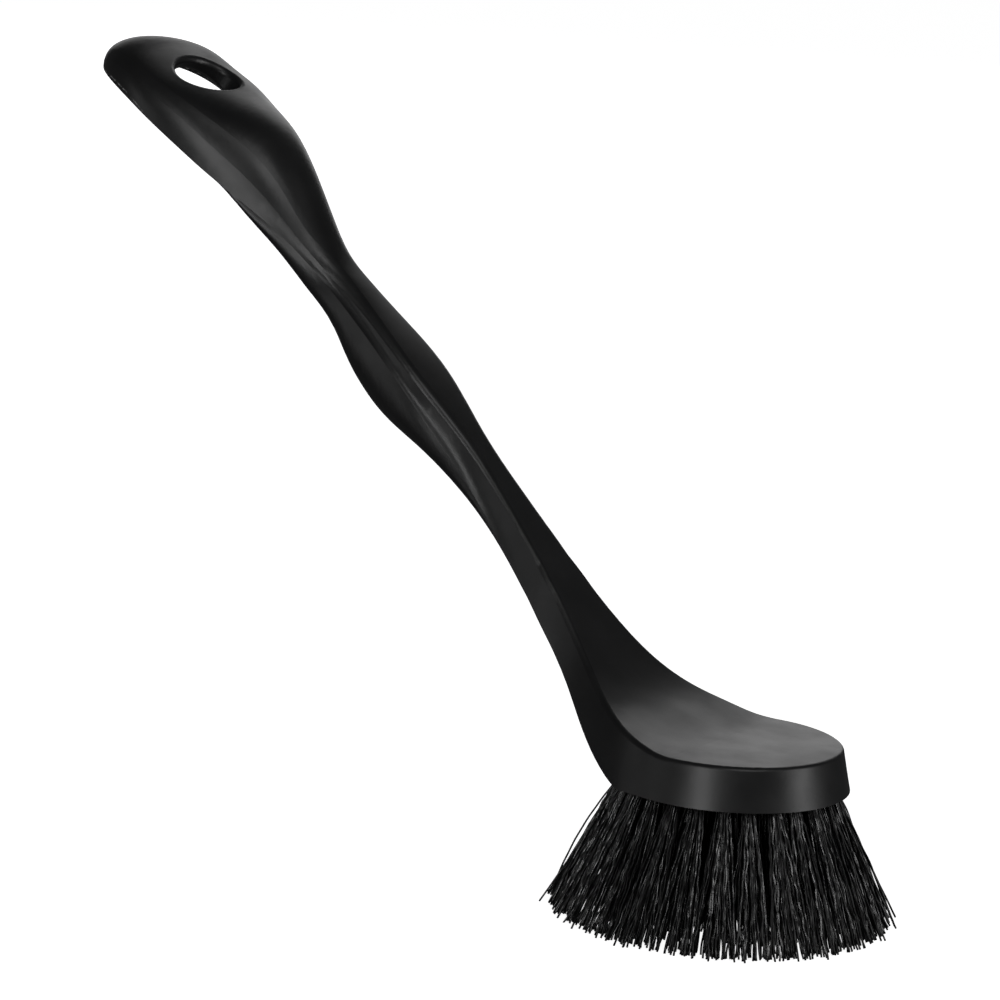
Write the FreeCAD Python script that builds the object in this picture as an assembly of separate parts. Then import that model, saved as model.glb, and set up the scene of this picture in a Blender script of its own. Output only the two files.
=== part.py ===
import FreeCAD, Part
import math
import os

# Round wheel brush: one moulded handle and head, with crimped bristle tufts stapled
# into drilled holes in the underside of the head.
#
# Frame: millimetres, +Z up. The origin is the centre of the plane of the bristle tips. The
# toe of the head points to +X, the handle rises towards -X, and the brush is the same on
# both sides of the XZ plane. The shapes are drawn with the underside of the head at z = 0
# and raised by the free length of the bristles when they are written.

# Driving dimensions of the head
HEAD_RADIUS = 31.0          # at the underside
HEAD_HEIGHT = 11.0          # height of the rim
WALL_DRAFT = 0.22           # inward lean of the rim, mm for each mm of height
NECK_DRAFT = 0.11           # the same at the neck
DRAFT_EASES_X = -8.0        # from here the lean goes from the one to the other
FLARE_ANGLE = 105.0         # degrees from the toe, where the rim runs off into the handle

# Driving dimensions of the neck where head and handle meet
JOIN_X = -56.0              # upright plane between the flared head and the handle
CREST_ROUNDING = 1.2        # radius on the top edge of the rim and the crest of the flare

# Driving dimensions of the end of the handle
END_X = -203.4              # tip of the handle
PADDLE_X = -178.0           # widest place of the paddle
PADDLE_HALF_WIDTH = 21.0
PADDLE_EDGE_Z = 150.6       # lower edge of the paddle at its widest place
PADDLE_TIP_RISE = 10.5      # height of the edge at the tip over the edge at its widest place
PADDLE_EDGE_BOW = 7.0       # how far the edge bows up between the two
DOME_HEIGHT = 12.5          # dome of the paddle above its edge
DOME_ROUNDNESS = 0.5        # 1 is an oval dome, less is one with a flatter crown
DOME_SHOULDER_ANGLE = 18.0  # degrees round the dome, where its side ends
DOME_BEND_ANGLE = 40.0      # degrees round the dome, where its crown starts
PADDLE_SCOOP = 7.8          # hollow in the underside of the paddle, above its edge

# Hanging hole, an oval across the paddle
HOLE_X = -175.3
HOLE_Z = 157.0              # middle of the hole, inside the paddle
HOLE_HALF_ACROSS = 10.4
HOLE_HALF_ALONG = 7.8
HOLE_SLOPE = 34.0           # degrees that the hole leans to the toe
HOLE_LIP = 1.4              # rounding of both edges of the hole

# Tufts: (ring name, number, radius of the ring, lean of its tufts in degrees)
TUFT_RINGS = (
    ("outer", 26, 26.2, 23.5),
    ("second", 15, 19.6, 16.5),
    ("third", 9, 13.0, 10.5),
    ("inner", 5, 6.6, 5.0),
    ("centre", 1, 0.0, 0.0),
)
DRILL_SHARE = 0.3           # the holes lean this much of the lean of the tufts
TUFT_HOLE_RADIUS = 1.9
TUFT_HOLE_DEPTH = 7.0
TUFT_FREE_LENGTH = 35.0     # height of the bristle field under the head
TUFT_SPREAD = 1.6           # tip radius of a tuft over its root radius
TUFT_CLEARANCE = 0.05       # between a tuft and the wall of its hole
ANCHOR_WIDTH = 4.6          # a little wider than the hole, so that it bites
ANCHOR_HEIGHT = 1.8
ANCHOR_THICKNESS = 0.4
ANCHOR_FOLD = 1.0           # of folded filament between the anchor and the end of the hole


def bezier(points):
    """A Bezier curve with the points as its poles."""
    curve = Part.BezierCurve()
    curve.setPoles([FreeCAD.Vector(*point) for point in points])
    return curve.toShape()


def line(start, end):
    return Part.makeLine(FreeCAD.Vector(*start), FreeCAD.Vector(*end))


# ---------------------------------------------------------------- head and flare

# The crest, where the top face meets the wall, from the rim to the neck: x, half-width, z
CREST = (
    (-15.0, 25.6, 13.7),
    (-23.0, 21.8, 17.2),
    (-30.0, 17.6, 21.9),
    (-36.5, 13.9, 27.8),
    (-43.0, 11.0, 34.6),
    (-49.5, 8.8, 41.8),
    (-56.0, 7.3, 48.9),
)

# The same wall's lower edge, which is the back of the handle: x, z
HEEL = (
    (-16.5, 0.0),
    (-21.5, 2.0),
    (-28.0, 5.8),
    (-35.0, 11.9),
    (-42.5, 21.0),
    (-49.5, 28.9),
    (-56.0, 36.2),
)


def wall_lean(x):
    """Outward lean of the wall below the crest: full at the rim, less at the neck."""
    along = min(1.0, max(0.0, (x - DRAFT_EASES_X) / (JOIN_X - DRAFT_EASES_X)))
    return WALL_DRAFT + (NECK_DRAFT - WALL_DRAFT) * along


def plan_outline(z):
    """Outline of the head and its flare at one height, as the wall's upright rules meet it."""
    radius = HEAD_RADIUS - WALL_DRAFT * z
    turn = math.radians(FLARE_ANGLE)
    rim_end = (radius * math.cos(turn), radius * math.sin(turn), z)
    toe = FreeCAD.Vector(radius, 0, z)
    rim = Part.Arc(
        FreeCAD.Vector(rim_end[0], -rim_end[1], z), toe, FreeCAD.Vector(*rim_end)
    ).toShape()
    flare = [rim_end]
    for x, half_width, crest_z in CREST:
        flare.append((x, half_width + wall_lean(x) * (crest_z - z), z))
    left = Part.BSplineCurve()
    left.interpolate(
        Points=[FreeCAD.Vector(*point) for point in flare],
        InitialTangent=FreeCAD.Vector(-math.sin(turn), math.cos(turn), 0),
        FinalTangent=FreeCAD.Vector(-1, -0.2, 0),
    )
    left_edge = left.toShape()
    right_edge = left_edge.mirror(FreeCAD.Vector(0, 0, 0), FreeCAD.Vector(0, 1, 0))
    end = flare[-1]
    back = line(end, (end[0], -end[1], z))
    return Part.Wire([rim, left_edge, back, right_edge])


def head_profile():
    """Side view of the head and its flare, as a flat face in the XZ plane."""
    top = [(-2.0, 0, HEAD_HEIGHT), (-8.5, 0, HEAD_HEIGHT + 0.75)]
    top += [(x, 0, z) for x, half_width, z in CREST]
    top_curve = Part.BSplineCurve()
    top_curve.interpolate(
        Points=[FreeCAD.Vector(*point) for point in top],
        InitialTangent=FreeCAD.Vector(-1, 0, 0),
        FinalTangent=FreeCAD.Vector(-1, 0, 1.08),
    )
    heel = Part.BSplineCurve()
    heel.interpolate(
        Points=[FreeCAD.Vector(x, 0, z) for x, z in HEEL],
        InitialTangent=FreeCAD.Vector(-1, 0, 0.3),
        FinalTangent=FreeCAD.Vector(-1, 0, 1.12),
    )
    heel_curve = heel.toShape()
    reach = HEAD_RADIUS + 5
    edges = [
        line((reach, 0, 0), (reach, 0, HEAD_HEIGHT)),
        line((reach, 0, HEAD_HEIGHT), top[0]),
        top_curve.toShape(),
        line(top[-1], (HEEL[-1][0], 0, HEEL[-1][1])),
        heel_curve,
        line((HEEL[0][0], 0, 0), (reach, 0, 0)),
    ]
    return Part.Face(Part.Wire(Part.__sortEdges__(edges)))


def head_block():
    """Round head and flared neck: the leaning wall trimmed by the side view."""
    wall = Part.makeLoft([plan_outline(0), plan_outline(60)], True, True)
    profile = head_profile()
    profile.translate(FreeCAD.Vector(0, -50, 0))
    block = wall.common(profile.extrude(FreeCAD.Vector(0, 100, 0))).Solids[0]
    crest = []
    for edge in block.Edges:
        box = edge.BoundBox
        runs_along = box.XLength > 0.01 and box.YLength > 0.01
        if runs_along and box.ZMin > HEAD_HEIGHT - 0.1:
            crest.append(edge)
    return block.makeFillet(CREST_ROUNDING, crest).Solids[0]


def neck_outline(block):
    """Outline of the flared neck where the handle starts, in the order of close_section."""
    end = min(block.Faces, key=lambda face: face.CenterOfMass.x)

    def rising(test):
        chosen = [edge for edge in end.OuterWire.Edges if test(edge.CenterOfMass.y)]
        return sorted(chosen, key=lambda edge: edge.CenterOfMass.z)

    right = rising(lambda y: y > 0.01)
    left = rising(lambda y: y < -0.01)
    belly, top = rising(lambda y: abs(y) < 0.01)
    return Part.Wire([right[0], right[1], top, left[1], left[0], belly])


# ---------------------------------------------------------------- handle

# Stations of the sculpted grip. Each has a crest on both sides of its top face, a hollow
# below the crest, then the parting edge, then the belly. The first one is the neck:
# x, crest z, crest half-width, crest rounding, crown, edge z, edge half-width, hollow, belly
GRIP = (
    (JOIN_X, 48.9, 7.3, CREST_ROUNDING, 0.0, 36.2, 8.7, 0.0, 0.0),
    (-68.5, 62.3, 5.6, 1.5, 0.2, 51.5, 6.7, 0.3, 2.6),
    (-82.0, 76.6, 5.2, 1.8, 0.4, 67.2, 6.2, 0.8, 6.6),
    (-97.0, 91.8, 7.9, 2.0, 0.6, 84.4, 8.6, 1.0, 13.2),
    (-110.5, 103.4, 6.8, 2.2, 0.7, 97.5, 8.3, 1.0, 18.4),
    (-125.0, 114.9, 5.8, 2.6, 1.2, 109.7, 7.2, 0.7, 12.2),
)
GRIP_STEP = 4.6             # distance between the outlines drawn along the grip

# Stations of the paddle:
# x, half-width, edge z, dome height, dome roundness, hollow at the foot, belly
PADDLE = (
    (-133.0, 8.6, 117.0, 9.8, 1.0, 0.4, 10.2),
    (-141.0, 11.6, 124.2, 15.7, 1.0, 0.3, 8.0),
    (-150.0, 15.0, 131.0, 19.3, 0.88, 0.1, 4.4),
    (-160.0, 18.2, 138.0, 17.5, 0.7, 0.0, -0.4),
    (-169.0, 20.2, 144.5, 15.0, 0.56, 0.0, -4.2),
)


def unit(vector):
    return FreeCAD.Vector(vector).normalize()


def close_section(x, foot, wall_pole, shoulder, corner, bend, crown_pole, belly):
    """Closed outline of the handle at x from its half-outline points (y, z).

    The six edges are the wall, shoulder, top, shoulder, wall and belly."""

    def right(point):
        return (x, point[0], point[1])

    def left(point):
        return (x, -point[0], point[1])

    def toward(start, end, share):
        return tuple(start[i] + share * (end[i] - start[i]) for i in (0, 1))

    leaving = toward(shoulder, corner, -0.35 * math.dist(foot, shoulder) / math.dist(shoulder, corner))
    half_wall = (foot, wall_pole, leaving, shoulder)
    half_turn = (shoulder, toward(shoulder, corner, 0.6), toward(bend, corner, 0.6), bend)
    edges = [bezier([right(point) for point in half_wall])]
    edges.append(bezier([right(point) for point in half_turn]))
    edges.append(bezier([right(bend), right(crown_pole), left(crown_pole), left(bend)]))
    edges.append(bezier([left(point) for point in reversed(half_turn)]))
    edges.append(bezier([left(point) for point in reversed(half_wall)]))
    # the poles stand this much further from the foot than the curve's own lowest point
    if belly > 0:
        depth = belly / 0.875
        half_belly = (foot, (foot[0] * 1.08, foot[1] - 0.5 * depth), (foot[0] * 0.95, foot[1] - depth))
    else:
        depth = belly / 0.781
        half_belly = (foot, (foot[0] * 0.9, foot[1]), (foot[0] * 0.8, foot[1] - depth))
    poles = [left(point) for point in half_belly]
    poles.append((x, 0, foot[1] - depth))
    poles += [right(point) for point in reversed(half_belly)]
    edges.append(bezier(poles))
    return Part.Wire(edges)


def grip_section(x, crest_z, crest_half, rounding, crown, edge_z, edge_half, hollow, belly):
    """Outline with a crest on each side of a slightly crowned top face."""
    corner = (crest_half, crest_z)
    crown_pole = (0.4 * crest_half, crest_z + crown / 0.75)
    lean = (edge_half - crest_half) * (1.0 - hollow * 0.8)
    fall = crest_z - edge_z
    down = unit((lean, -fall, 0))
    across = unit((crown_pole[0] - corner[0], crown_pole[1] - corner[1], 0))
    shoulder = (corner[0] + rounding * down.x, corner[1] + rounding * down.y)
    bend = (corner[0] + rounding * across.x, corner[1] + rounding * across.y)
    foot = (edge_half, edge_z)
    wall_pole = (
        edge_half - (edge_half - shoulder[0]) * (0.35 + 0.6 * hollow) - 0.5 * hollow,
        edge_z + (shoulder[1] - edge_z) * (0.35 - 0.1 * hollow),
    )
    return close_section(x, foot, wall_pole, shoulder, corner, bend, crown_pole, belly)


def dome_section(x, half_width, edge_z, height, roundness, hollow, belly):
    """Outline with a dome over the underside, hollow under the paddle."""

    def on_dome(angle):
        return (
            half_width * math.cos(angle) ** roundness,
            edge_z + height * math.sin(angle) ** roundness,
        )

    def slope(angle):
        return height / half_width * math.tan(angle) ** (roundness - 2)

    low = math.radians(DOME_SHOULDER_ANGLE)
    high = math.radians(DOME_BEND_ANGLE)
    shoulder = on_dome(low)
    bend = on_dome(high)
    # the tangents at the shoulder and the bend meet in the corner
    steep = slope(low)
    gentle = slope(high)
    run = (bend[1] - shoulder[1] - gentle * (shoulder[0] - bend[0])) / (steep - gentle)
    corner = (shoulder[0] - run, shoulder[1] + steep * run)
    # the crown reaches three quarters of the way up to its poles
    pole_rise = (edge_z + height - bend[1]) / 0.75
    crown_pole = (bend[0] - pole_rise / gentle, bend[1] + pole_rise)
    foot = (half_width, edge_z)
    wall_pole = (half_width - 1.6 * hollow, edge_z + height * 0.18)
    return close_section(x, foot, wall_pole, shoulder, corner, bend, crown_pole, belly)


def tip_sections():
    """Sections that shrink along an oval from the widest place of the paddle to its tip."""
    sections = []
    for turn in (0, 15, 30, 45, 58, 70, 79, 86):
        along = math.sin(math.radians(turn))
        size = math.cos(math.radians(turn))
        x = PADDLE_X + (END_X - PADDLE_X) * along
        edge_z = PADDLE_EDGE_Z + PADDLE_TIP_RISE * along + PADDLE_EDGE_BOW * along * (1 - along)
        roundness = DOME_ROUNDNESS + (1 - DOME_ROUNDNESS) * along * along
        scoop = -PADDLE_SCOOP * size
        half_width = PADDLE_HALF_WIDTH * size
        sections.append(dome_section(x, half_width, edge_z, DOME_HEIGHT * size, roundness, 0, scoop))
    return sections


def guides(stations):
    """Smooth curves through the columns of a table, as one function of x."""
    places = [-station[0] for station in stations]
    curves = []
    for column in range(1, len(stations[0])):
        points = [FreeCAD.Vector(station[0], station[column], 0) for station in stations]
        curve = Part.BSplineCurve()
        curve.interpolate(Points=points, Parameters=places)
        curves.append(curve)
    return lambda x: [x] + [curve.value(-x).y for curve in curves]


def grip_sections():
    """Outlines at even steps along the grip, after the neck's own."""
    start = GRIP[0][0]
    length = start - GRIP[-1][0]
    count = round(length / GRIP_STEP)
    shape_at = guides(GRIP)
    return [grip_section(*shape_at(start - length * step / count)) for step in range(1, count + 1)]


def handle(block):
    """The grip and paddle, starting from the outline of the head's neck."""
    sections = [neck_outline(block)]
    sections += grip_sections()
    sections += [dome_section(*station) for station in PADDLE]
    sections += tip_sections()
    return Part.makeLoft(sections, True, False)


def hanging_hole():
    """Cutter of the oval hanging hole, square to the paddle."""
    outline = Part.Ellipse(FreeCAD.Vector(0, 0, 0), HOLE_HALF_ACROSS, HOLE_HALF_ALONG).toShape()
    outline.rotate(FreeCAD.Vector(0, 0, 0), FreeCAD.Vector(0, 0, 1), 90)
    face = Part.Face(Part.Wire([outline]))
    face.translate(FreeCAD.Vector(0, 0, -30))
    cutter = face.extrude(FreeCAD.Vector(0, 0, 60))
    cutter.rotate(FreeCAD.Vector(0, 0, 0), FreeCAD.Vector(0, 1, 0), HOLE_SLOPE)
    cutter.translate(FreeCAD.Vector(HOLE_X, 0, HOLE_Z))
    return cutter


def pierced(body):
    """The body with its hanging hole, both rims of the hole rounded."""
    opened = body.cut(hanging_hole()).Solids[0]
    rims = []
    for edge in opened.Edges:
        middle = edge.CenterOfMass
        box = edge.BoundBox
        closed_across = 2 * HOLE_HALF_ACROSS - 0.2 < box.YLength < 2 * HOLE_HALF_ACROSS + 0.2
        if closed_across and abs(middle.x - HOLE_X) < HOLE_HALF_ALONG:
            rims.append(edge)
    return opened.makeFillet(HOLE_LIP, rims).Solids[0]


# ---------------------------------------------------------------- tufts and anchors

def tuft_places():
    """Name, ring, position and outward lean of every tuft."""
    places = []
    for ring, count, radius, lean in TUFT_RINGS:
        for number in range(count):
            angle = 360.0 * (number + 0.5) / count
            name = f"tuft_{ring}_{number + 1:02d}" if count > 1 else f"tuft_{ring}"
            places.append((name, radius, angle, lean))
    return places


def placed(shape, radius, angle, lean):
    """Shape moved from the origin to its place in the head, leaning outward below it."""
    shape.rotate(FreeCAD.Vector(0, 0, 0), FreeCAD.Vector(0, 1, 0), -lean)
    shape.translate(FreeCAD.Vector(radius, 0, 0))
    shape.rotate(FreeCAD.Vector(0, 0, 0), FreeCAD.Vector(0, 0, 1), angle)
    return shape


def tuft_hole(radius, angle, lean):
    """Drilled hole, from a little below the underside up to its depth."""
    hole = Part.makeCylinder(
        TUFT_HOLE_RADIUS, TUFT_HOLE_DEPTH + 2, FreeCAD.Vector(0, 0, -2), FreeCAD.Vector(0, 0, 1)
    )
    return placed(hole, radius, angle, lean * DRILL_SHARE)


def ring_wire(radius, x, z, tilt=0.0):
    """Circle about (x, 0, z), tilted about the Y axis."""
    wire = Part.Wire([Part.makeCircle(radius)])
    wire.rotate(FreeCAD.Vector(0, 0, 0), FreeCAD.Vector(0, 1, 0), tilt)
    wire.translate(FreeCAD.Vector(x, 0, z))
    return wire


def tuft(radius, angle, lean):
    """One tuft: a plug folded over its anchor and a cone that opens down to the trimmed tips."""
    root = TUFT_HOLE_RADIUS - TUFT_CLEARANCE
    drill = lean * DRILL_SHARE
    depth = TUFT_HOLE_DEPTH - 0.1
    top_x = radius - depth * math.sin(math.radians(drill))
    top_z = depth * math.cos(math.radians(drill))
    tip_x = radius + TUFT_FREE_LENGTH * math.tan(math.radians(lean))
    rings = [
        ring_wire(root, top_x, top_z, -drill),
        ring_wire(root, radius, 0),
        ring_wire(root * TUFT_SPREAD, tip_x, -TUFT_FREE_LENGTH),
    ]
    bundle = Part.makeLoft(rings, True, True)
    bundle.rotate(FreeCAD.Vector(0, 0, 0), FreeCAD.Vector(0, 0, 1), angle)
    return bundle.cut(anchor(radius, angle, lean, TUFT_CLEARANCE))


def anchor(radius, angle, lean, clearance=0.0):
    """Flat wire anchor across the hole, inside the fold of the filaments."""
    low = TUFT_HOLE_DEPTH - ANCHOR_FOLD - ANCHOR_HEIGHT
    plate = Part.makeBox(
        ANCHOR_THICKNESS + 2 * clearance,
        ANCHOR_WIDTH,
        ANCHOR_HEIGHT + 2 * clearance,
        FreeCAD.Vector(-ANCHOR_THICKNESS / 2 - clearance, -ANCHOR_WIDTH / 2, low - clearance),
    )
    return placed(plate, radius, angle, lean * DRILL_SHARE)


def brush_body(places):
    """The moulding: head, neck and handle, with its hanging hole and the tuft holes."""
    block = head_block()
    body = pierced(block.fuse(handle(block)).Solids[0])
    cutters = []
    for name, radius, angle, lean in places:
        cutters.append(tuft_hole(radius, angle, lean))
        cutters.append(anchor(radius, angle, lean))
    return body.cut(cutters).Solids[0]


def export(name, shape):
    """Write one piece with the bristle tips at z = 0."""
    shape.translate(FreeCAD.Vector(0, 0, TUFT_FREE_LENGTH))
    shape.exportStep(f"parts/{name}.step")


def build():
    os.makedirs("parts", exist_ok=True)
    places = tuft_places()
    export("brush_body", brush_body(places))
    anchors = []
    for name, radius, angle, lean in places:
        export(name, tuft(radius, angle, lean))
        anchors.append(anchor(radius, angle, lean))
    export("tuft_anchors", Part.makeCompound(anchors))


build()
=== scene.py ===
import math

import bpy
import numpy as np
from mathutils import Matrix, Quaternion, Vector


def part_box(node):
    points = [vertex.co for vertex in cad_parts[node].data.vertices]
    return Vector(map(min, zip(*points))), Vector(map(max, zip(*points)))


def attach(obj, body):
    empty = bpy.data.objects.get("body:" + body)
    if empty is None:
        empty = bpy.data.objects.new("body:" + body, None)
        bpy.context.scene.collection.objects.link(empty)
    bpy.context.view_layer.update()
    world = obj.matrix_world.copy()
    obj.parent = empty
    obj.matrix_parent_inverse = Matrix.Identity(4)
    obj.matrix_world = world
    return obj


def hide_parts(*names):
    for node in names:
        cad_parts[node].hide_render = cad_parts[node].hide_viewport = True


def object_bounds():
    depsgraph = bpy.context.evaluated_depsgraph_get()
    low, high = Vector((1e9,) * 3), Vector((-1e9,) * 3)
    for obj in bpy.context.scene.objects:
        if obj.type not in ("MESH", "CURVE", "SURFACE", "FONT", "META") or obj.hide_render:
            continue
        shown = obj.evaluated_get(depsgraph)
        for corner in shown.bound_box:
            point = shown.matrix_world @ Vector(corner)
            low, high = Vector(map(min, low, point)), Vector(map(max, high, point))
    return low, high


# Looks of a wheel brush: a satin black moulded body and 56 tufts of crimped filament.
# Everything is in metres, in the frame of the CAD model. The underside of the head is level,
# and the filaments hang from it down to the floor at z = 0.

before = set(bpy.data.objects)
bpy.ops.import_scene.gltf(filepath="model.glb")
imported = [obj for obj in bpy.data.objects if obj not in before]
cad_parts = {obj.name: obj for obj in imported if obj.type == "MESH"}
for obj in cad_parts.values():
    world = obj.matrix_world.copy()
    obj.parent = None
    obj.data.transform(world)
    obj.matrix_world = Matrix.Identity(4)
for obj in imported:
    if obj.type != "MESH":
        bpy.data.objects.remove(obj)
cad_box = [list(corner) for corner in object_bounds()]
MM = 0.001
BODY = "brush_body"
ANCHORS = "tuft_anchors"
TUFTS = sorted(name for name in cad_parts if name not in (BODY, ANCHORS))
MIDDLE = (Vector(cad_box[0]) + Vector(cad_box[1])) / 2
TIP_X = cad_box[0][0]                   # the free end of the handle
UNDERSIDE_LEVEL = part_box(BODY)[0].z     # underside of the head, the lowest part of the body
ON_A_LEVEL = 0.02 * MM                  # points this near a level belong to it

# Camera: in front of the head and to its right, a little above it
CAMERA_AIM = (-73.6, 0.0, 61.2)     # mm from the middle of the underside of the head
CAMERA_DISTANCE = 1.3286
CAMERA_AZIMUTH = 32.0
CAMERA_ELEVATION = 11.54
CAMERA_ROLL = 3.57
CAMERA_LENS = 184.4

# Studio. Angles in degrees, sizes in metres, radiance where a white screen has 1.
SOFTBOXES = (
    # name, azimuth, elevation, distance, width, height, radiance
    ("left_strip", 7, 4, 1.5, 0.30, 1.2, 6.0),
    ("right_strip", 104, 4, 1.5, 0.36, 1.2, 5.0),
    ("front_box", 52, 40, 1.5, 0.6, 0.6, 3.2),
    ("low_left_box", -42, -8, 1.5, 0.6, 0.6, 0.9),
    ("back_box", 196, 32, 1.6, 0.6, 0.5, 1.1),
    ("back_screen", 212, 10, 1.9, 1.5, 0.7, 1.0),
)
FLOOR_SIZE = 24.0
FLOOR_GLOW = 0.94                   # keeps the far floor as white as the near one
ROOM_GLOW = 0.05

# Colours, as linear red, green, blue and alpha
PLASTIC_DARK = (0.0050, 0.0050, 0.0052, 1)
PLASTIC_LIGHT = (0.0085, 0.0085, 0.0088, 1)
# pale grey of the painted highlight on the parting edge
EDGE_HIGHLIGHT_PALE = (0.30, 0.30, 0.30, 1)
NYLON_DARK = (0.0012, 0.0012, 0.0013, 1)
# lighter nylon: painted sheen in the shining dashes, scaled by each filament's own random tone
NYLON_LIGHT = (0.006, 0.006, 0.0062, 1)
STEEL_DARK = (0.42, 0.41, 0.39, 1)
STEEL_LIGHT = (0.6, 0.59, 0.57, 1)
FLOOR_DARK = (0.84, 0.84, 0.845, 1)
FLOOR_LIGHT = (0.88, 0.88, 0.882, 1)
ROOM_TINT = (0.97, 0.98, 1, 1)
NOTHING = (0, 0, 0, 1)
WHITE = (1, 1, 1, 1)

# Gloss
MIDDLE_OF_NOISE = (0.3, 0.7)        # where nearly all of a noise lies
PLASTIC_IOR = 1.49
PLASTIC_ROUGHNESS = (0.33, 0.41)    # over the mottle
FLOW_ROUGHNESS = (-0.02, 0.03)      # added, over the flow of the plastic along the handle
RUB_ROUGHNESS = 0.06                # added where the body is rubbed
HANDLE_SLOPE = 42                   # degrees
NYLON_IOR = 1.7
NYLON_ROUGHNESS = (0.38, 0.14)      # from the edges of the crimp to its flats
NYLON_SPECULAR = (0.12, 1.0)        # the same
STEEL_ROUGHNESS = (0.25, 0.45)
FLOOR_ROUGHNESS = 0.9
FLOOR_SPECULAR = 0.1

# Painted highlight: a pale line painted along the thin moulding fin on the parting edge of the
# paddle, from the tip
EDGE_HIGHLIGHT_LENGTH = 26 * MM
EDGE_HIGHLIGHT_FULL = 0.10 * MM              # full strength this near the edge
EDGE_HIGHLIGHT_GONE = 0.30 * MM              # and none from here

# Filaments
FILAMENTS = 40                      # free ends in one tuft
FILAMENT_RADIUS = 0.26 * MM
FILAMENT_ROOM = 1.15                # room for it inside the hole, in filament radii
SIDES = 6                           # of the tube of a filament
STEPS = 28                          # points along a filament
ROOT_DEPTH = 1.5 * MM               # how far a filament is drawn up inside its hole
CRIMP_LENGTH = 8.0 * MM
CRIMP_LENGTHS = (0.8, 1.25)         # shortest and longest, as a share of CRIMP_LENGTH
CRIMP_SWING = 0.19 * MM
CRIMP_SWINGS = (0.5, 1.35)          # least and most, as a share of CRIMP_SWING
CRIMP_EASE = 6.0                    # full swing from one sixth of the length
OUTWARD_SPREAD = 0.75               # spread of the tips over the radius of the CAD tuft
SIDEWAYS_SPREAD = 1.9               # the same along the ring, where tufts run into each other
TIP_SCATTER = 1.0 * MM
ROOT_SCATTER = 0.05                 # of the place in the tuft, over the radius of the tuft
TRIM_UNEVEN = 3.0 * MM              # the shortest filaments end this much above the longest
TRIM_SHAPE = (1.1, 3.0)             # beta distribution: most end low
TONE_SHAPE = (1.1, 1.3)             # beta distribution: every gloss from dull to bright
FILAMENT_BOW = 0.6 * MM
FIRST_SEED = 1000


def direction(azimuth, elevation):
    """Unit vector from the object to a place at that azimuth and elevation, in degrees."""
    a = math.radians(azimuth)
    e = math.radians(elevation)
    return Vector((math.sin(a) * math.cos(e), -math.cos(a) * math.cos(e), math.sin(e)))


def vertices(node):
    """Vertices of a CAD node, as an array of xyz."""
    return np.array([vertex.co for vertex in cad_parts[node].data.vertices])


# ---------------------------------------------------------------- materials

class Nodes:
    """Short way to build one node material."""

    def __init__(self, name):
        self.material = bpy.data.materials.new(name)
        self.material.use_nodes = True
        self.tree = self.material.node_tree
        self.shader = self.tree.nodes["Principled BSDF"]
        self.place = self.add("ShaderNodeTexCoord").outputs["Object"]

    def add(self, kind, **values):
        node = self.tree.nodes.new(kind)
        for key, value in values.items():
            setattr(node, key, value)
        return node

    def link(self, source, target):
        self.tree.links.new(source, target)

    def feed(self, name, value):
        """Give an input of the shader a number or a colour, or what a node puts out."""
        if isinstance(value, bpy.types.NodeSocket):
            self.link(value, self.shader.inputs[name])
        else:
            self.shader.inputs[name].default_value = value

    def stretched(self, scale, turn=(0, 0, 0)):
        """Object coordinates with their own scale on each axis."""
        mapping = self.add("ShaderNodeMapping")
        mapping.inputs["Scale"].default_value = scale
        mapping.inputs["Rotation"].default_value = [math.radians(angle) for angle in turn]
        self.link(self.place, mapping.inputs["Vector"])
        return mapping.outputs["Vector"]

    def noise(self, scale, detail, rough, place=None):
        node = self.add("ShaderNodeTexNoise")
        node.inputs["Scale"].default_value = scale
        node.inputs["Detail"].default_value = detail
        node.inputs["Roughness"].default_value = rough
        self.link(place or self.place, node.inputs["Vector"])
        return node.outputs["Fac"]

    def span(self, value, source, target):
        """The value carried from one range over to another, and held at its ends."""
        node = self.add("ShaderNodeMapRange")
        node.inputs["From Min"].default_value = source[0]
        node.inputs["From Max"].default_value = source[1]
        node.inputs["To Min"].default_value = target[0]
        node.inputs["To Max"].default_value = target[1]
        self.link(value, node.inputs["Value"])
        return node.outputs["Result"]

    def maths(self, operation, first, second=0.0):
        node = self.add("ShaderNodeMath", operation=operation)
        for socket, value in zip(node.inputs, (first, second)):
            if isinstance(value, (int, float)):
                socket.default_value = value
            else:
                self.link(value, socket)
        return node.outputs["Value"]

    def plus(self, first, second):
        return self.maths("ADD", first, second)

    def times(self, first, second):
        return self.maths("MULTIPLY", first, second)

    def mix(self, share, first, second):
        """From the first colour to the second as the share goes from 0 to 1."""
        node = self.add("ShaderNodeMix", data_type="RGBA")
        self.link(share, node.inputs["Factor"])
        node.inputs["A"].default_value = first
        node.inputs["B"].default_value = second
        return node.outputs["Result"]

    def sum_of_colours(self, first, second):
        node = self.add("ShaderNodeMix", data_type="RGBA", blend_type="ADD")
        node.inputs["Factor"].default_value = 1.0
        self.link(first, node.inputs["A"])
        self.link(second, node.inputs["B"])
        return node.outputs["Result"]

    def bump(self, height, depth, strength, below=None):
        """Surface normal of a relief, on top of the relief below it."""
        node = self.add("ShaderNodeBump")
        node.inputs["Distance"].default_value = depth
        node.inputs["Strength"].default_value = strength
        self.link(height, node.inputs["Height"])
        if below is not None:
            self.link(below, node.inputs["Normal"])
        return node.outputs["Normal"]


def parting_edge():
    """Height of the widest line of the body over x near the tip, as a quadratic in x."""
    points = vertices(BODY)
    # every millimetre, from 2 mm behind the tip
    places = points[:, 0].min() + np.arange(2, EDGE_HIGHLIGHT_LENGTH / MM) * MM
    heights = []
    for x in places:
        slice_points = points[np.abs(points[:, 0] - x) < MM]
        heights.append(slice_points[np.argmax(slice_points[:, 1])][2])
    return np.polyfit(places, heights, 2)


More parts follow.
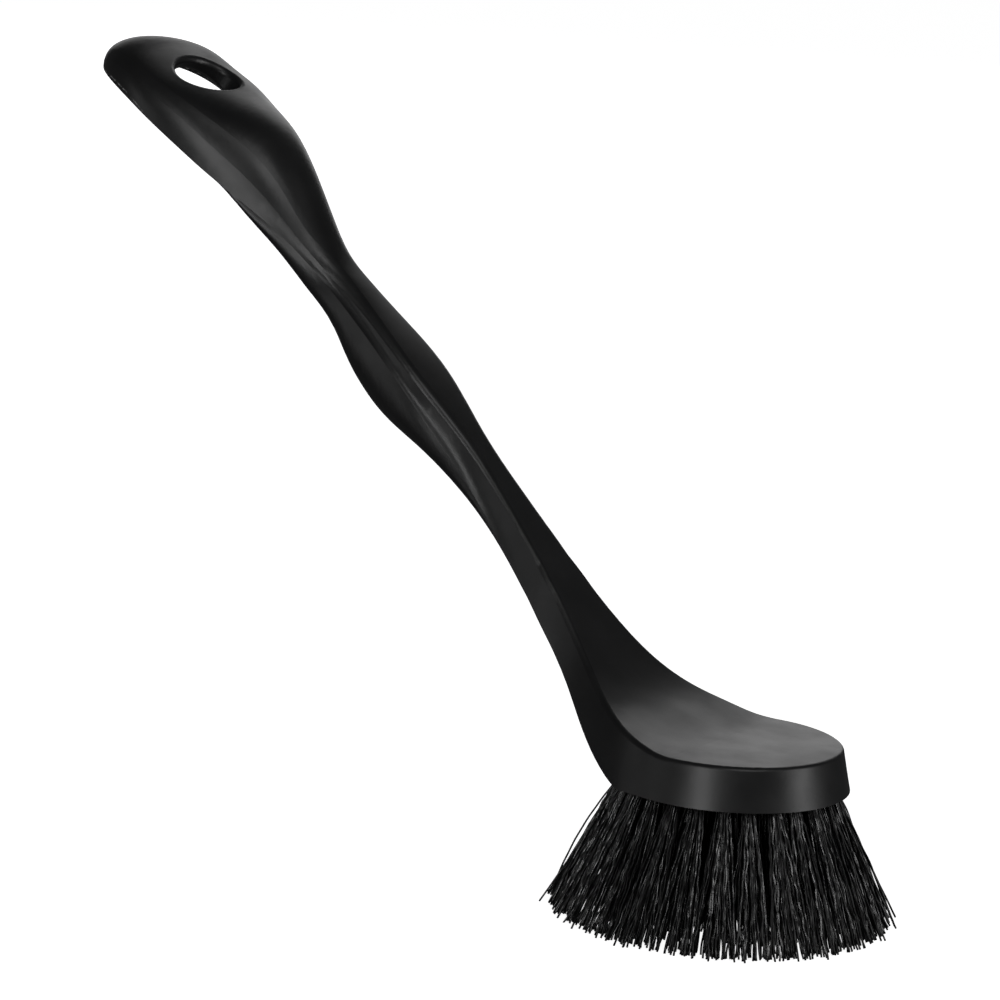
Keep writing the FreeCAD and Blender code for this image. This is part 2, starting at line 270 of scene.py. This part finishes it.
def painted_edge_highlight(m):
    """Where a thin ragged line of painted highlight stands on the parting edge, 0 to 1."""
    parts = m.add("ShaderNodeSeparateXYZ")
    m.link(m.place, parts.inputs["Vector"])
    x = parts.outputs["X"]
    bend, slope, height = parting_edge()
    edge = m.plus(m.times(m.plus(m.times(x, bend), slope), x), height)
    distance = m.maths("ABSOLUTE", m.maths("SUBTRACT", parts.outputs["Z"], edge))
    line = m.span(distance, (EDGE_HIGHLIGHT_FULL, EDGE_HIGHLIGHT_GONE), (1.0, 0.0))
    ragged = m.span(m.noise(520.0, detail=3.0, rough=0.7), (0.46, 0.58), (0.0, 1.0))
    near_tip = m.span(x, (TIP_X + EDGE_HIGHLIGHT_LENGTH, TIP_X + 0.8 * EDGE_HIGHLIGHT_LENGTH), (0.0, 1.0))
    return m.times(m.times(line, ragged), near_tip)


def body_plastic():
    """Satin black polypropylene: fine moulded grain, soft mottle, a few light rubs, and a pale
    painted highlight on the parting edge.
    """
    m = Nodes("satin_black_plastic")
    mottle = m.noise(90.0, detail=4.0, rough=0.55)
    grain = m.noise(5200.0, detail=2.0, rough=0.6)
    along_flow = m.stretched((1.0, 2.2, 1.0), turn=(0, HANDLE_SLOPE, 0))
    flow = m.noise(34.0, detail=2.0, rough=0.5, place=along_flow)
    along_rubs = m.stretched((0.35, 3.0, 1.0), turn=(0, HANDLE_SLOPE, 20))
    rubs = m.span(m.noise(260.0, detail=6.0, rough=0.7, place=along_rubs), (0.66, 0.8), (0.0, 1.0))
    shade = m.mix(mottle, PLASTIC_DARK, PLASTIC_LIGHT)
    # a pale line painted on the parting edge near the tip: a painted highlight
    pale = m.mix(painted_edge_highlight(m), NOTHING, EDGE_HIGHLIGHT_PALE)
    m.feed("Base Color", m.sum_of_colours(shade, pale))
    satin = m.plus(m.span(mottle, MIDDLE_OF_NOISE, PLASTIC_ROUGHNESS), m.times(rubs, RUB_ROUGHNESS))
    m.feed("Roughness", m.plus(satin, m.span(flow, MIDDLE_OF_NOISE, FLOW_ROUGHNESS)))
    m.feed("IOR", PLASTIC_IOR)
    sunk = m.bump(mottle, depth=0.12 * MM, strength=0.35)
    m.feed("Normal", m.bump(grain, depth=0.012 * MM, strength=0.5, below=sunk))
    return m.material


def filament_nylon():
    """Black crimped filament: dashes along the crimp shine, more on some filaments than others; the
    base colour is painted lighter in the same dashes, a painted sheen.
    """
    m = Nodes("black_filament")
    tone = m.add("ShaderNodeAttribute", attribute_name="tone").outputs["Fac"]
    streak = m.noise(900.0, detail=2.0, rough=0.5, place=m.stretched((1.0, 1.0, 0.10)))
    flats_and_painted_sheen = m.times(tone, m.span(streak, (0.42, 0.62), (0.05, 1.0)))
    # base colour lighter in the shining dashes: painted sheen; how much varies with each filament's
    # own random tone
    m.feed("Base Color", m.mix(flats_and_painted_sheen, NYLON_DARK, NYLON_LIGHT))
    m.feed("Roughness", m.span(flats_and_painted_sheen, (0.0, 0.8), NYLON_ROUGHNESS))
    m.feed("Specular IOR Level", m.span(flats_and_painted_sheen, (0.0, 0.8), NYLON_SPECULAR))
    m.feed("IOR", NYLON_IOR)
    m.feed("Normal", m.bump(streak, depth=0.02 * MM, strength=0.3))
    return m.material


def anchor_steel():
    """Flat steel wire, drawn along its length."""
    m = Nodes("anchor_steel")
    drawn = m.noise(2400.0, detail=3.0, rough=0.6, place=m.stretched((1.0, 1.0, 0.1)))
    m.feed("Base Color", m.mix(drawn, STEEL_DARK, STEEL_LIGHT))
    m.feed("Metallic", 1.0)
    m.feed("Roughness", m.span(drawn, MIDDLE_OF_NOISE, STEEL_ROUGHNESS))
    m.feed("Normal", m.bump(drawn, depth=0.01 * MM, strength=0.4))
    return m.material


def dress(node, material):
    """Give a CAD node its material."""
    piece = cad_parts[node]
    piece.data.materials.clear()
    piece.data.materials.append(material)


# ---------------------------------------------------------------- tufts

def tuft_axis(node):
    """Centre and radius of a CAD tuft where it leaves the head, and at its tip."""
    points = vertices(node)
    tip = points[points[:, 2] < points[:, 2].min() + ON_A_LEVEL]
    root = points[np.abs(points[:, 2] - UNDERSIDE_LEVEL) < ON_A_LEVEL]
    ends = []
    for ring in (root, tip):
        centre = (ring.min(axis=0) + ring.max(axis=0)) / 2
        radius = np.linalg.norm(ring[:, :2] - centre[:2], axis=1).max()
        ends.append((centre, radius))
    return ends


def disc_points(count, random):
    """Points spread evenly over a unit disc by the golden angle, each a little off its place."""
    number = np.arange(count) + 0.5
    reach = np.sqrt(number / count)
    turn = number * math.pi * (3 - math.sqrt(5)) + random.uniform(0, 2 * math.pi)
    spots = np.stack([reach * np.cos(turn), reach * np.sin(turn)], axis=1)
    return spots + random.normal(0, ROOT_SCATTER, spots.shape)


def outward_and_sideways(tip):
    """Level unit vectors away from the middle of the head and along the ring of tufts."""
    outward = np.array([1.0, 0.0])
    if np.linalg.norm(tip[:2]) > MM:
        outward = tip[:2] / np.linalg.norm(tip[:2])
    return np.array([outward, [-outward[1], outward[0]]])


def filament_ends(root, root_radius, tip, tip_radius, random):
    """Where the filaments of one tuft leave the head, and where they are cut."""
    spots = disc_points(FILAMENTS, random)
    ring_axes = outward_and_sideways(tip)
    starts = np.tile(root, (FILAMENTS, 1))
    starts[:, :2] += spots @ ring_axes * (root_radius - FILAMENT_RADIUS * FILAMENT_ROOM)
    ends = np.tile(tip, (FILAMENTS, 1))
    spread = spots * tip_radius * (OUTWARD_SPREAD, SIDEWAYS_SPREAD)
    ends[:, :2] += (spread + random.normal(0, TIP_SCATTER, spots.shape)) @ ring_axes
    ends[:, 2] += TRIM_UNEVEN * random.beta(*TRIM_SHAPE, FILAMENTS)
    return starts, ends


def filament_lines(starts, ends, random):
    """Centre lines of the filaments of one tuft: an array of filament, step, xyz."""
    along = ends - starts
    length = np.linalg.norm(along, axis=1)[:, None]
    axis = along / length
    share = np.linspace(0, 1, STEPS)[None, :]
    # the crimp is a wave in a plane of the filament's own
    side_angle = random.uniform(0, 2 * math.pi, FILAMENTS)
    flat = np.stack([np.cos(side_angle), np.sin(side_angle), np.zeros(FILAMENTS)], axis=1)
    side = flat - axis * np.sum(flat * axis, axis=1)[:, None]
    waves = length / (CRIMP_LENGTH * random.uniform(*CRIMP_LENGTHS, (FILAMENTS, 1)))
    phase = random.uniform(0, 2 * math.pi, (FILAMENTS, 1))
    swing = CRIMP_SWING * random.uniform(*CRIMP_SWINGS, (FILAMENTS, 1))
    loose = np.minimum(1.0, share * CRIMP_EASE)
    wave = swing * loose * np.sin(2 * math.pi * waves * share + phase)
    # a slow bow across that plane and a slow drift in it bend the whole filament
    across = np.cross(axis, side)
    bow = random.normal(0, FILAMENT_BOW, (FILAMENTS, 1)) * np.sin(math.pi * share)
    drift = random.normal(0, FILAMENT_BOW, (FILAMENTS, 1)) * share * np.sin(1.5 * math.pi * share)
    lines = starts[:, None, :] + along[:, None, :] * share[:, :, None]
    lines = lines + side[:, None, :] * (wave + drift)[:, :, None]
    lines = lines + across[:, None, :] * bow[:, :, None]
    # the top end stays in its hole
    top = starts - axis * ROOT_DEPTH
    return np.concatenate([top[:, None, :], lines], axis=1)


def tube_points(lines, radius):
    """Rings of points round the lines: an array of line, step, side, xyz."""
    ahead = np.gradient(lines, axis=1)
    ahead /= np.linalg.norm(ahead, axis=2)[:, :, None]
    level = np.array([0.31, 0.95, 0.0])     # no filament runs level
    sideways = np.cross(ahead, level)
    sideways /= np.linalg.norm(sideways, axis=2)[:, :, None]
    upward = np.cross(ahead, sideways)
    turn = np.arange(SIDES) * 2 * math.pi / SIDES
    ring = (
        sideways[:, :, None, :] * np.cos(turn)[None, None, :, None]
        + upward[:, :, None, :] * np.sin(turn)[None, None, :, None]
    )
    return lines[:, :, None, :] + radius * ring


def tube_quads(count, steps):
    """The walls of the tubes, as an array of quads."""
    tube = np.arange(count)[:, None, None] * steps * SIDES
    step = np.arange(steps - 1)[None, :, None] * SIDES
    side = np.arange(SIDES)[None, None, :]
    near = tube + step + side
    near_next = tube + step + (side + 1) % SIDES
    return np.stack([near, near_next, near_next + SIDES, near + SIDES], axis=3).reshape(-1, 4)


def tube_caps(count, steps):
    """The two flat ends of each tube."""
    caps = []
    for tube in range(count):
        first = tube * steps * SIDES
        last = first + (steps - 1) * SIDES
        caps.append([first + side for side in reversed(range(SIDES))])
        caps.append([last + side for side in range(SIDES)])
    return caps


def tube_mesh(name, lines, radius, tones):
    """One mesh of round tubes along the lines, closed at both ends."""
    count, steps, _ = lines.shape
    points = tube_points(lines, radius)
    quads = tube_quads(count, steps)
    mesh = bpy.data.meshes.new(name)
    mesh.from_pydata(points.reshape(-1, 3).tolist(), [], quads.tolist() + tube_caps(count, steps))
    mesh.update()
    smooth = np.ones(len(mesh.polygons), bool)
    smooth[len(quads):] = False
    mesh.polygons.foreach_set("use_smooth", smooth)
    shade = mesh.attributes.new("tone", "FLOAT", "POINT")
    shade.data.foreach_set("value", np.repeat(tones, steps * SIDES).astype(np.float32))
    return mesh


def tuft(node, number, material):
    """One tuft of separate crimped filaments in place of its plain CAD cone."""
    random = np.random.default_rng(FIRST_SEED + number)
    (root, root_radius), (tip, tip_radius) = tuft_axis(node)
    starts, ends = filament_ends(root, root_radius, tip, tip_radius, random)
    lines = filament_lines(starts, ends, random)
    tones = random.beta(*TONE_SHAPE, FILAMENTS)
    mesh = tube_mesh("filaments_" + node, lines, FILAMENT_RADIUS, tones)
    mesh.materials.append(material)
    piece = bpy.data.objects.new("filaments_" + node, mesh)
    bpy.context.scene.collection.objects.link(piece)
    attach(piece, "root")
    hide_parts(node)


# ---------------------------------------------------------------- studio

def floor():
    """Plain pale floor with a faint mottle. It gives the brush no reflection, light or shadow."""
    bpy.ops.mesh.primitive_grid_add(x_subdivisions=8, y_subdivisions=8, size=FLOOR_SIZE)
    ground = bpy.context.object
    ground.name = "studio_floor"
    m = Nodes("pale_floor")
    m.feed("Base Color", m.mix(m.noise(1.4, detail=3.0, rough=0.5), FLOOR_DARK, FLOOR_LIGHT))
    m.feed("Roughness", FLOOR_ROUGHNESS)
    m.feed("Specular IOR Level", FLOOR_SPECULAR)
    m.feed("Emission Color", WHITE)
    m.feed("Emission Strength", FLOOR_GLOW)
    ground.data.materials.append(m.material)
    ground.visible_glossy = False
    ground.visible_diffuse = False
    ground.visible_shadow = False


def softbox(name, azimuth, elevation, distance, width, height, radiance):
    """Soft area light that faces the middle of the brush and is not seen itself."""
    lamp = bpy.data.lights.new(name, "AREA")
    lamp.shape = "RECTANGLE"
    lamp.size = width
    lamp.size_y = height
    lamp.energy = radiance * math.pi * width * height
    holder = bpy.data.objects.new(name, lamp)
    away = direction(azimuth, elevation)
    holder.location = MIDDLE + away * distance
    holder.rotation_mode = "QUATERNION"
    holder.rotation_quaternion = away.to_track_quat("Z", "Y")
    holder.visible_camera = False
    bpy.context.scene.collection.objects.link(holder)


def surroundings():
    """White backdrop; what it adds as light is kept low, so that the black stays deep."""
    world = bpy.data.worlds.new("studio")
    bpy.context.scene.world = world
    world.use_nodes = True
    tree = world.node_tree
    seen = tree.nodes["Background"]
    seen.inputs["Color"].default_value = WHITE
    seen.inputs["Strength"].default_value = 1.0
    glow = tree.nodes.new("ShaderNodeBackground")
    glow.inputs["Color"].default_value = ROOM_TINT
    glow.inputs["Strength"].default_value = ROOM_GLOW
    ray = tree.nodes.new("ShaderNodeLightPath")
    blend = tree.nodes.new("ShaderNodeMixShader")
    tree.links.new(ray.outputs["Is Camera Ray"], blend.inputs["Fac"])
    tree.links.new(glow.outputs["Background"], blend.inputs[1])
    tree.links.new(seen.outputs["Background"], blend.inputs[2])
    tree.links.new(blend.outputs["Shader"], tree.nodes["World Output"].inputs["Surface"])
    bpy.context.scene.view_settings.view_transform = "Standard"


def camera():
    """Long lens, aimed at the middle of the brush and rolled a little about its own axis."""
    data = bpy.data.cameras.new("camera")
    data.lens = CAMERA_LENS
    holder = bpy.data.objects.new("camera", data)
    away = direction(CAMERA_AZIMUTH, CAMERA_ELEVATION)
    aim = Vector(CAMERA_AIM) * MM + Vector((0, 0, UNDERSIDE_LEVEL))
    holder.location = aim + away * CAMERA_DISTANCE
    holder.rotation_mode = "QUATERNION"
    roll = Quaternion((0, 0, 1), math.radians(CAMERA_ROLL))
    holder.rotation_quaternion = (-away).to_track_quat("-Z", "Y") @ roll
    bpy.context.scene.collection.objects.link(holder)
    bpy.context.scene.camera = holder


camera()
surroundings()
for box in SOFTBOXES:
    softbox(*box)
floor()
dress(BODY, body_plastic())
dress(ANCHORS, anchor_steel())
filament = filament_nylon()
for number, node in enumerate(TUFTS):
    tuft(node, number, filament)
